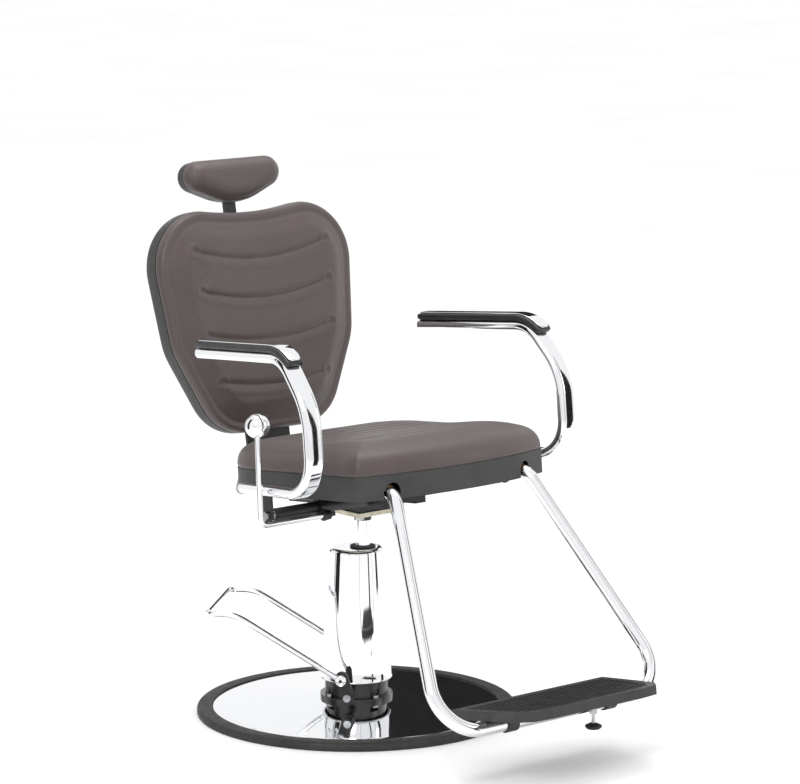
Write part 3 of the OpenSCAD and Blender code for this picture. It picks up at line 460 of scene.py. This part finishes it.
def dense(frames, reach=0.012, parts=6):
    """Adds frames close to both ends, where a strip is rounded off."""
    ends = []
    for here, there in ((frames[0], frames[1]), (frames[-1], frames[-2])):
        apart = (there.translation - here.translation).length
        ends.append([here.lerp(there, min(1, reach * (i / parts) ** 2 / apart)) for i in range(parts)])
    return ends[0] + frames[1:-1] + ends[1][::-1]


pad_frames = dense(run([(0.247,), (0.070, 46, 0)], along_arm))
pad_section = [(x - TUBE_T / 2 - PAD_T / 2, y) for x, y in rounded(PAD_T, PAD_W, 0.0042)]
middle_x = -TUBE_T / 2 - PAD_T / 2
sizes = end_sizes(pad_frames, 0.012, (0.72, 0.80))


def shrink(frames, sizes, at_x):
    """Frames moved so that the section shrinks about its own middle."""
    return [f @ Matrix.Translation((at_x * (1 - s[0]), 0, 0)) for f, s in zip(frames, sizes)]


arm_pad = sweep("arm_pad_foam_left", pad_section, shrink(pad_frames, sizes, middle_x), arm_foam, sizes=sizes)
arm_pad_far = mirrored("arm_pad_foam_right", arm_pad)

trim_frames = dense(run([(0.247,), (0.070, 44, 0)], along_arm), 0.010)
trim_x = -TUBE_T / 2 - PAD_T - TRIM_T / 2
trim_section = [(x + trim_x, y) for x, y in rounded(TRIM_T, 0.028, 0.0011, 3)]
trim_sizes = end_sizes(trim_frames, 0.010, (0.9, 0.35))
arm_trim = sweep("arm_strip_left", trim_section, shrink(trim_frames, trim_sizes, trim_x), chrome, sizes=trim_sizes)
arm_trim_far = mirrored("arm_strip_right", arm_trim)

for piece, node, slot in ((arm_loop, "arm_tube_left", "chrome"), (arm_loop_far, "arm_tube_right", "chrome"),
                          (arm_pad, "arm_pad_left", "arm_pad_pu"), (arm_pad_far, "arm_pad_right", "arm_pad_pu"),
                          (arm_trim, "pad_trim_left", "chrome"), (arm_trim_far, "pad_trim_right", "chrome")):
    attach(piece, "seat")
    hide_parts(node)

# ---------------------------------------------------------------------------
# Seat pan and board. The pan is one ABS moulding; inside it a birch plywood
# board carries the cushion and takes the screws.
# ---------------------------------------------------------------------------
# Birch plywood: pale veneer with straight, stretched figure.
plywood = new_material("birch plywood", Roughness=0.6, colour=(6, "#B88E5C", "#D7B486", 6),
                       relief=(2, 0.05, 0.5), stretch=(1, 0.06, 1))

dress(abs_plastic, "seat_pan")
dress(plywood, "seat_board", "back_board")

# ---------------------------------------------------------------------------
# Seat cushion. Moulded foam under taupe PVC leatherette, glued and stapled to
# the board. Its middle panel is sewn in shallow channels from side to side,
# behind a rolled front edge.
# ---------------------------------------------------------------------------
SEAT_WIDTH, SEAT_FRONT, SEAT_REAR = 0.450, -0.295, 0.162
FRONT_CORNER, REAR_CORNER, FRONT_BOW = 0.070, 0.110, 0.595
SEAT_LINES = (-0.200, -0.165, -0.133, -0.101, -0.069, -0.037, -0.005, 0.027, 0.059, 0.091)

# PVC leatherette: taupe brown, pebbled like calf, with a soft sheen on its high places.
# The pebbles are drawn about three times their real size so that they show.
leatherette = new_material("taupe PVC leatherette", Sheen_Weight=0.12, Sheen_Roughness=0.5,
                           rough=(20, 0.40, 0.50))
tree, shader = leatherette.node_tree, leatherette.node_tree.nodes["Principled BSDF"]
place = add(tree, "ShaderNodeTexCoord").outputs["Object"]
clouds = []
for size, detail in ((120, 2), (5, 4)):
    noise = add(tree, "ShaderNodeTexNoise", {"Vector": place, "Scale": mm(size), "Detail": detail})
    clouds.append(add(tree, "ShaderNodeMapRange", {"Value": noise.outputs["Fac"], "From Min": 0.3,
                      "From Max": 0.7, "To Min": 0, "To Max": 1}).outputs["Result"])
mixed = add(tree, "ShaderNodeMath", {0: clouds[0], 1: clouds[1], 2: 0.25}, operation="MULTIPLY_ADD")
ramp = add(tree, "ShaderNodeValToRGB", {"Fac": mixed.outputs[0]})
for element, shade in zip(ramp.color_ramp.elements, ("#423837", "#4B403E")):
    element.color = linear(shade)
tree.links.new(ramp.outputs["Color"], shader.inputs["Base Color"])
pebbles = add(tree, "ShaderNodeTexVoronoi", {"Vector": place, "Scale": mm(2.6), "Randomness": 1.0},
              feature="DISTANCE_TO_EDGE")
edges = add(tree, "ShaderNodeMapRange", {"Value": pebbles.outputs["Distance"], "From Min": 0.0, "From Max": 0.25,
            "To Min": 0.0, "To Max": 1.0})
grain = add(tree, "ShaderNodeBump", {"Height": edges.outputs["Result"], "Distance": 0.10 / 1000, "Strength": 0.30})
tree.links.new(grain.outputs["Normal"], shader.inputs["Normal"])


def hull_of_circles(circles, steps=720):
    """The outline round circles (x, y, radius), by its support in each direction."""
    out = []
    for k in range(steps):
        t = 2 * math.pi * k / steps
        c, s = math.cos(t), math.sin(t)
        x, y, r = max(circles, key=lambda q: q[0] * c + q[1] * s + q[2])
        out.append((x + r * c, y + r * s))
    return np.array(out)


def even(points, count):
    """The closed outline again, as that many evenly spaced points."""
    loop = np.vstack([points, points[:1]])
    gone = np.concatenate([[0], np.cumsum(np.linalg.norm(np.diff(loop, axis=0), axis=1))])
    at = np.linspace(0, gone[-1], count, endpoint=False)
    return np.column_stack([np.interp(at, gone, loop[:, 0]), np.interp(at, gone, loop[:, 1])])


def edge_distance(points, outline):
    """How far each point is from the outline."""
    a, b = outline, np.roll(outline, -1, axis=0)
    span = b - a
    out = np.empty(len(points))
    for i in range(0, len(points), 2000):
        p = points[i:i + 2000, None, :]
        t = np.clip(((p - a) * span).sum(2) / (span ** 2).sum(1), 0, 1)
        out[i:i + 2000] = np.linalg.norm(p - (a + t[..., None] * span), axis=2).min(1)
    return out


def outward(outline):
    """The unit normal of the outline at each of its points."""
    along = np.roll(outline, -1, axis=0) - np.roll(outline, 1, axis=0)
    normal = np.column_stack([along[:, 1], -along[:, 0]])
    return normal / np.linalg.norm(normal, axis=1)[:, None]


def pad_grid(outline, insets, middle):
    """Rings of points from the outline in to its middle, all in the same proportion."""
    return [outline + (middle - outline) * 0.985 * inset / insets[-1] for inset in insets]


def skin(name, rings, heights, into, material, bottom):
    """A closed cushion from rings of plane points, their heights, and a flat bottom ring."""
    count = len(rings[0])
    points = [into @ Vector((p[0], p[1], bottom)) for p in rings[0]]
    for ring_points, ring_heights in zip(rings, heights):
        points += [into @ Vector((p[0], p[1], h)) for p, h in zip(ring_points, ring_heights)]
    faces = [tuple(range(count))[::-1]]
    for i in range(len(rings)):
        here, there = i * count, (i + 1) * count
        faces += [(here + k, here + (k + 1) % count, there + (k + 1) % count, there + k) for k in range(count)]
    last = len(rings) * count
    points.append(into @ Vector((float(np.mean(rings[-1][:, 0])), float(np.mean(rings[-1][:, 1])),
                                 float(np.mean(heights[-1])))))
    faces += [(last + k, last + (k + 1) % count, len(points) - 1) for k in range(count)]
    piece = new_piece(name, points, faces, material)
    crease(piece, 60)
    return piece


def shoulder(distance, width, power=2.5):
    """A rounded edge: 0 at the seam, 1 from width inwards, upright at the seam."""
    part = np.clip(distance / width, 0, 1)
    return (1 - (1 - part) ** power) ** (1 / power)


def smooth(value, low, high):
    t = np.clip((value - low) / (high - low), 0, 1)
    return t * t * (3 - 2 * t)


seat_circles = [(sx * (SEAT_WIDTH / 2 - FRONT_CORNER), SEAT_FRONT + FRONT_CORNER, FRONT_CORNER) for sx in (-1, 1)]
seat_circles += [(sx * (SEAT_WIDTH / 2 - REAR_CORNER), SEAT_REAR - REAR_CORNER, REAR_CORNER) for sx in (-1, 1)]
seat_outline = even(hull_of_circles(seat_circles, 1440), 1440)
bow = np.linalg.norm(seat_outline - [0, SEAT_FRONT + FRONT_BOW], axis=1)
seat_outline = np.where((bow > FRONT_BOW)[:, None], [0, SEAT_FRONT + FRONT_BOW]
                        + (seat_outline - [0, SEAT_FRONT + FRONT_BOW]) * (FRONT_BOW / bow)[:, None], seat_outline)
seat_outline = even(seat_outline, 420)

seat_insets = [0.0001 + 0.195 * (i / 104) ** 1.9 for i in range(104)]
seat_rings = pad_grid(seat_outline, seat_insets, np.array([0, -0.055]))
seat_normals = outward(seat_outline)


def cushion_height(p, inset):
    """Height of the cushion's top above the seam."""
    forward = smooth(-p[:, 1], 0.02, 0.20)
    full = 0.044 + 0.010 * forward
    width = 0.060 + 0.030 * smooth(-p[:, 1], 0.10, 0.25)
    height = full * shoulder(inset, width, 2.35)
    crown = 0.004 * (1 - (p[:, 0] / 0.225) ** 2)
    height += crown * smooth(inset, 0.02, 0.10)
    for number, line in enumerate(SEAT_LINES):
        half = 0.150 if number else 0.146
        bend = 0.034 if number == 0 else 0.012
        off = p[:, 1] - line - bend * (p[:, 0] / 0.150) ** 2
        here = smooth(half - np.abs(p[:, 0]), -0.002, 0.012)
        deep = 0.0020 if number == 0 else 0.0034
        height -= here * deep * (0.6 * np.exp(-(off / 0.0055) ** 2) + 0.4 * np.exp(-(off / 0.0018) ** 2))
    return height


def puffed(rings, insets, normals, swell, over):
    """Rings near the seam pushed outwards, so that the cover swells over its seam."""
    out = []
    for ring_points, inset in zip(rings, insets):
        part = min(1.0, inset / over)
        out.append(ring_points + normals * swell * math.sin(math.pi * part) ** 0.8)
    return out


seat_heights = [0.0006 + cushion_height(r, edge_distance(r, seat_outline)) for r in seat_rings]
seat_rings = puffed(seat_rings, seat_insets, seat_normals, 0.0030, 0.030)
cushion = skin("seat_upholstery", [seat_outline - seat_normals * 0.002] + seat_rings,
               [np.full(len(seat_outline), 0.0004)] + seat_heights, on_seat, leatherette, 0.0003)
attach(cushion, "seat")
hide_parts("seat_cushion")

# ---------------------------------------------------------------------------
# Footrest. One chromed tube comes out of the pan, runs down both sides and
# crosses under the plate; the plate is a ribbed black plastic moulding.
# ---------------------------------------------------------------------------
FOOT_TUBE, FOOT_WALL = 0.025, 0.002
LEG_X, LEG_H, LEG_BACK, LEG_FRONT = 0.158, -0.028, 0.150, -0.245
LEG_BEND, CORNER_BEND, LEG_LENGTH = 0.050, 0.075, 0.350
LEG_SPLAY = 14.6
leg_drop = 90 - 34.5 + SEAT_TILT
sp, dr = math.radians(LEG_SPLAY), math.radians(leg_drop)
leg_turn = math.acos(math.cos(sp) * math.cos(dr))
leg_roll = math.atan2(math.sin(sp), math.cos(sp) * math.sin(dr))
corner_roll = math.degrees(leg_roll) + math.degrees(math.atan2(-math.cos(leg_roll),
                                                               -math.sin(leg_roll) * math.cos(leg_turn)))
bar_half = (LEG_X + LEG_BEND * (1 - math.cos(leg_turn)) * math.sin(leg_roll) + LEG_LENGTH * math.sin(sp)
            - CORNER_BEND * math.cos(sp))
leg_start = (on_seat @ Matrix.Translation((LEG_X, LEG_FRONT + LEG_BACK, LEG_H)) @ turned("X", 90)
             @ turned("Z", -90))
leg_frames = run([(LEG_BACK,), (LEG_BEND, math.degrees(leg_turn), math.degrees(leg_roll)), (LEG_LENGTH,),
                  (CORNER_BEND, 90 + LEG_SPLAY, corner_roll), (bar_half,)], leg_start)
far_leg = open_tube("footrest_loop_left", circle(FOOT_TUBE), circle(FOOT_TUBE - 2 * FOOT_WALL), leg_frames, chrome)
near_leg = mirrored("footrest_loop_right", far_leg)
for piece in (far_leg, near_leg):
    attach(piece, "seat")
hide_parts("footrest_tube")

# Moulded polypropylene: near-black and a little glossier than the pan, scuffed on top by shoes.
foot_plastic = new_material("moulded black polypropylene", colour=(30, "#1F1F20", "#2B2B2C"),
                            rough=(10, 0.36, 0.55), relief=(1.6, 0.06, 0.5))

dress(foot_plastic, "footplate")
dress(powder_coat, "plate_clamps")
dress(zinc, "plate_bolts", "bumper_stem")
dress(rubber, "rubber_bumper")

# ---------------------------------------------------------------------------
# Recline lever. A chromed rod turns in a plate on the cross tube and ends in a
# ball; inside, its flag presses the gas spring's release pin.
# ---------------------------------------------------------------------------
LEVER_BAR, KNOB = 0.011, 0.045
LEVER_LENGTH, LEVER_REACH, LEVER_BEND, LEVER_IN, LEVER_LEAN = 0.181, 0.318, 0.014, 0.160, 2.9
on_lever = on_seat @ Matrix.Translation((0, -0.090, -0.0825)) @ turned("X", LEVER_LEAN)
lever_frames = run([(LEVER_REACH - LEVER_IN - LEVER_BEND,), (LEVER_BEND, 90, 0), (LEVER_LENGTH - LEVER_BEND,)],
                   on_lever @ Matrix.Translation((-LEVER_IN, 0, 0)) @ turned("Y", -90))
lever_bar = sweep("lever_bar", circle(LEVER_BAR), lever_frames, chrome)
ball_profile = arc(0, 0, KNOB / 2, -76, 90, 40) + [(0.0, 0.0)]
ball = lathe("lever_ball", [(max(r, 0), z) for r, z in ball_profile], chrome, steps=96)
ball.data.transform(on_lever @ Matrix.Translation((-LEVER_REACH, 0, LEVER_LENGTH)))
for piece, node in ((lever_bar, "lever_rod"), (ball, "lever_knob")):
    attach(piece, "lever")
    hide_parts(node)
dress(powder_coat, "lever_flag", "gas_cylinder")
dress(zinc, "release_pin", "gas_rod", "hinge_shaft")

# ---------------------------------------------------------------------------
# Back bracket, shell and screws. A bent steel strip carries the plywood board;
# an ABS shell with rounded edges closes the back.
# ---------------------------------------------------------------------------
BACK_Y, BACK_Z, BACK_LEAN = 0.270, 0.502, 10.3
BACK_TOP, DIP_RADIUS = 0.428, 0.725
# The backrest's own frame: x across, y up the back, z forwards out of the pad.
on_back = (Matrix.Translation((0, BACK_Y, BACK_Z)) @ turned("X", -BACK_LEAN) @ turned("X", 90))

back_circles = [(sx * 0.120, 0.318, 0.110) for sx in (-1, 1)]
back_circles += [(sx * 0.097, 0.200, 0.120) for sx in (-1, 1)]
back_circles += [(sx * 0.070, 0.100, 0.100) for sx in (-1, 1)]
back_outline = even(hull_of_circles(back_circles, 1440), 1440)
dip = np.linalg.norm(back_outline - [0, BACK_TOP - 0.010 + DIP_RADIUS], axis=1)
back_outline = np.where((dip < DIP_RADIUS)[:, None], [0, BACK_TOP - 0.010 + DIP_RADIUS]
                        + (back_outline - [0, BACK_TOP - 0.010 + DIP_RADIUS]) * (DIP_RADIUS / dip)[:, None],
                        back_outline)
for _ in range(60):
    back_outline = (np.roll(back_outline, 1, axis=0) + 2 * back_outline + np.roll(back_outline, -1, axis=0)) / 4
back_outline = even(back_outline, 480)
back_normals = outward(back_outline)

shell_insets = [0.00005 + 0.19 * (i / 48) ** 2.2 for i in range(48)]
shell_rings = pad_grid(back_outline, shell_insets, np.array([0, 0.235]))
shell_heights = []
for ring_points in shell_rings:
    inset = edge_distance(ring_points, back_outline)
    shell_heights.append(-0.0400 * shoulder(inset, 0.036, 4.5))
rear_shell = skin("back_moulding", [back_outline] + shell_rings,
                  [np.full(len(back_outline), -0.0008)] + shell_heights, on_back, abs_plastic, -0.0004)
rear_shell.data.flip_normals()
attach(rear_shell, "back")
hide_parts("back_shell")
dress(powder_coat, "back_bracket", "headrest_guide", "headrest_stem")
dress(zinc, "back_screws")

# ---------------------------------------------------------------------------
# Back pad. Foam under the same leatherette: a rolled edge, a shallow valley
# inside it, and four smiling channels sewn across the raised panel.
# ---------------------------------------------------------------------------
CHANNELS = [(0.328, 0.156, 0.024), (0.253, 0.150, 0.022), (0.173, 0.146, 0.018), (0.087, 0.124, 0.013)]


def back_height(p, inset):
    """How far the pad stands forward of its seam."""
    roll = 0.0215 * shoulder(inset, 0.018, 2.3)
    panel = 0.0125 * smooth(inset, 0.016, 0.060)
    valley = -0.0022 * np.exp(-((inset - 0.0185) / 0.0055) ** 2)
    crown = 0.0035 * (1 - (p[:, 0] / 0.23) ** 2) * smooth(inset, 0.02, 0.12)
    height = roll + panel + valley + crown
    for low, half, rise in CHANNELS:
        line = low + rise * (p[:, 0] / half) ** 2
        off = p[:, 1] - line
        here = smooth(half + 0.004 - np.abs(p[:, 0]), 0, 0.014)
        height += here * (-0.0030 * np.exp(-(off / 0.0065) ** 2) - 0.0016 * np.exp(-(off / 0.0020) ** 2))
        height += here * 0.0009 * np.exp(-((off + 0.014) / 0.008) ** 2)
        for end in (-1, 1):
            far = np.hypot(p[:, 0] - end * (half + 0.002), (p[:, 1] - low - rise))
            height += -0.0022 * np.exp(-(far / 0.0055) ** 2) + 0.0012 * np.exp(-((far - 0.011) / 0.004) ** 2)
    return height


back_insets = [0.0001 + 0.200 * (i / 124) ** 1.7 for i in range(124)]
back_rings = pad_grid(back_outline, back_insets, np.array([0, 0.235]))
back_heights = [0.0006 + back_height(r, edge_distance(r, back_outline)) for r in back_rings]
back_rings = puffed(back_rings, back_insets, back_normals, 0.0022, 0.014)
pad = skin("back_upholstery", [back_outline - back_normals * 0.001] + back_rings,
           [np.full(len(back_outline), 0.0004)] + back_heights, on_back, leatherette, 0.0003)
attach(pad, "back")
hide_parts("back_pad")

# ---------------------------------------------------------------------------
# Headrest. A half-moon of foam and leatherette on a black shell, on a flat
# steel stem that slides in its guide behind the back.
# ---------------------------------------------------------------------------
HEAD_LOW, HEAD_WIDTH, HEAD_HEIGHT, HEAD_BOW = 0.440, 0.222, 0.084, 0.143
HEAD_CORNER = 0.030
HEAD_SEAM = -0.040
corner_circles = [(sx * (HEAD_WIDTH / 2 - HEAD_CORNER), HEAD_LOW + HEAD_HEIGHT - HEAD_CORNER, HEAD_CORNER)
                  for sx in (-1, 1)]
bowl_radius = HEAD_BOW - HEAD_CORNER
bowl = [(bowl_radius * math.sin(a), HEAD_LOW + HEAD_BOW - bowl_radius * math.cos(a), HEAD_CORNER)
        for a in [math.radians(d) for d in range(-38, 39, 2)]]
head_outline = even(hull_of_circles(corner_circles + bowl, 1440), 300)
head_normals = outward(head_outline)
head_middle = np.array([0, HEAD_LOW + 0.052])
head_insets = [0.00005 + 0.050 * (i / 60) ** 1.7 for i in range(60)]
head_rings = pad_grid(head_outline, head_insets, head_middle)
head_heights = [HEAD_SEAM + 0.0006 + 0.0345 * shoulder(edge_distance(r, head_outline), 0.034, 2.2)
                - 0.0012 * np.exp(-((edge_distance(r, head_outline) - 0.006) / 0.002) ** 2) for r in head_rings]
head_rings = puffed(head_rings, head_insets, head_normals, 0.0012, 0.006)
head_pad = skin("head_upholstery", [head_outline - head_normals * 0.001] + head_rings,
                [np.full(len(head_outline), HEAD_SEAM + 0.0004)] + head_heights, on_back, leatherette,
                HEAD_SEAM + 0.0003)
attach(head_pad, "headrest")
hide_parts("headrest_pad")

cup_rings = pad_grid(head_outline - head_normals * 0.0008, head_insets, head_middle)
cup_heights = [HEAD_SEAM - 0.025 * shoulder(edge_distance(r, head_outline - head_normals * 0.0008), 0.018, 3.6)
               for r in cup_rings]
head_cup = skin("head_moulding", [head_outline - head_normals * 0.0008] + cup_rings,
                [np.full(len(head_outline), HEAD_SEAM - 0.0008)] + cup_heights, on_back, abs_plastic,
                HEAD_SEAM - 0.0004)
head_cup.data.flip_normals()
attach(head_cup, "headrest")
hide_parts("headrest_shell")

# ---------------------------------------------------------------------------
# Studio. A pale floor that fills the view, a bright tent of light, soft boxes
# above, and black flags that only the chrome sees.
# ---------------------------------------------------------------------------
pale = new_material("pale studio paper", Roughness=0.9, Base_Color=linear("#F6F6F6"),
                    colour=(900, "#F4F4F4", "#F8F8F8"))
floor = new_piece("studio_floor", [(-60, -60, 0), (60, -60, 0), (60, 60, 0), (-60, 60, 0)], [(0, 1, 2, 3)], pale)
floor.location.z = -0.0005

world = bpy.data.worlds.new("studio tent")
bpy.context.scene.world = world
world.use_nodes = True
tree = world.node_tree
tree.nodes["Background"].inputs["Color"].default_value = (1, 1, 1, 1)
tree.nodes["Background"].inputs["Strength"].default_value = 1.08

flag_black = new_material("black studio flag", Base_Color=linear("#050505"), Roughness=1.0)
FLAGS = [(152, 1.7, 0.62, 2.4), (137, 1.9, 0.10, 2.4), (283, 1.7, 0.16, 2.4), (322, 1.8, 0.34, 2.4),
         (40, 2.4, 0.7, 2.4), (92, 2.4, 0.5, 2.4), (205, 6.0, 0.14, 3.4)]
for number, (angle, away, wide, tall) in enumerate(FLAGS):
    at = turned("Z", angle) @ Matrix.Translation((away, 0, 0))
    corners = [at @ Vector((0, side * wide / 2, z)) for side, z in ((-1, 0.0), (1, 0.0), (1, tall), (-1, tall))]
    flag = new_piece(f"studio_flag_{number}", corners, [(0, 1, 2, 3)], flag_black)
    flag.visible_camera = flag.visible_diffuse = flag.visible_shadow = False


def soft_box(name, position, size, power):
    light = bpy.data.lights.new(name, "AREA")
    light.shape = "DISK"
    light.size = size
    light.energy = power
    lamp = bpy.data.objects.new(name, light)
    bpy.context.scene.collection.objects.link(lamp)
    lamp.location = position
    lamp.rotation_euler = (Vector((0, 0, 0.5)) - Vector(position)).to_track_quat("-Z", "Y").to_euler()


soft_box("key", (-2.6, -1.6, 2.9), 1.6, 40)
soft_box("top", (0.3, 0.2, 3.4), 2.0, 36)
soft_box("fill", (2.6, -2.8, 1.6), 1.8, 12)

# ---------------------------------------------------------------------------
# Camera, at the chair's right front and a little above the seat. Its axis passes
# the origin at AIM_RIGHT and AIM_UP, measured along its own right and up.
# ---------------------------------------------------------------------------
LENS, SENSOR, DISTANCE = 162, 36, 6.777563
AIM_RIGHT, AIM_UP = 0.0684327, 0.5989107
ELEVATION, HEADING, ROLL = 0.16694, -0.70522, -0.00293
right = Vector((math.cos(HEADING), math.sin(HEADING), 0))
toward = Vector((math.sin(HEADING) * math.cos(ELEVATION), -math.cos(HEADING) * math.cos(ELEVATION),
                 math.sin(ELEVATION)))
up = toward.cross(right)
right, up = right * math.cos(ROLL) + up * math.sin(ROLL), up * math.cos(ROLL) - right * math.sin(ROLL)
camera = bpy.data.objects.new("camera", bpy.data.cameras.new("camera"))
bpy.context.scene.collection.objects.link(camera)
camera.data.lens = LENS
camera.data.sensor_width = SENSOR
camera.data.clip_end = 200
turn = Matrix((right, up, toward)).transposed().to_4x4()
camera.matrix_world = Matrix.Translation(toward * DISTANCE + right * AIM_RIGHT + up * AIM_UP) @ turn
bpy.context.scene.camera = camera
bpy.context.scene.view_settings.view_transform = "Standard"

bpy.context.view_layer.update()
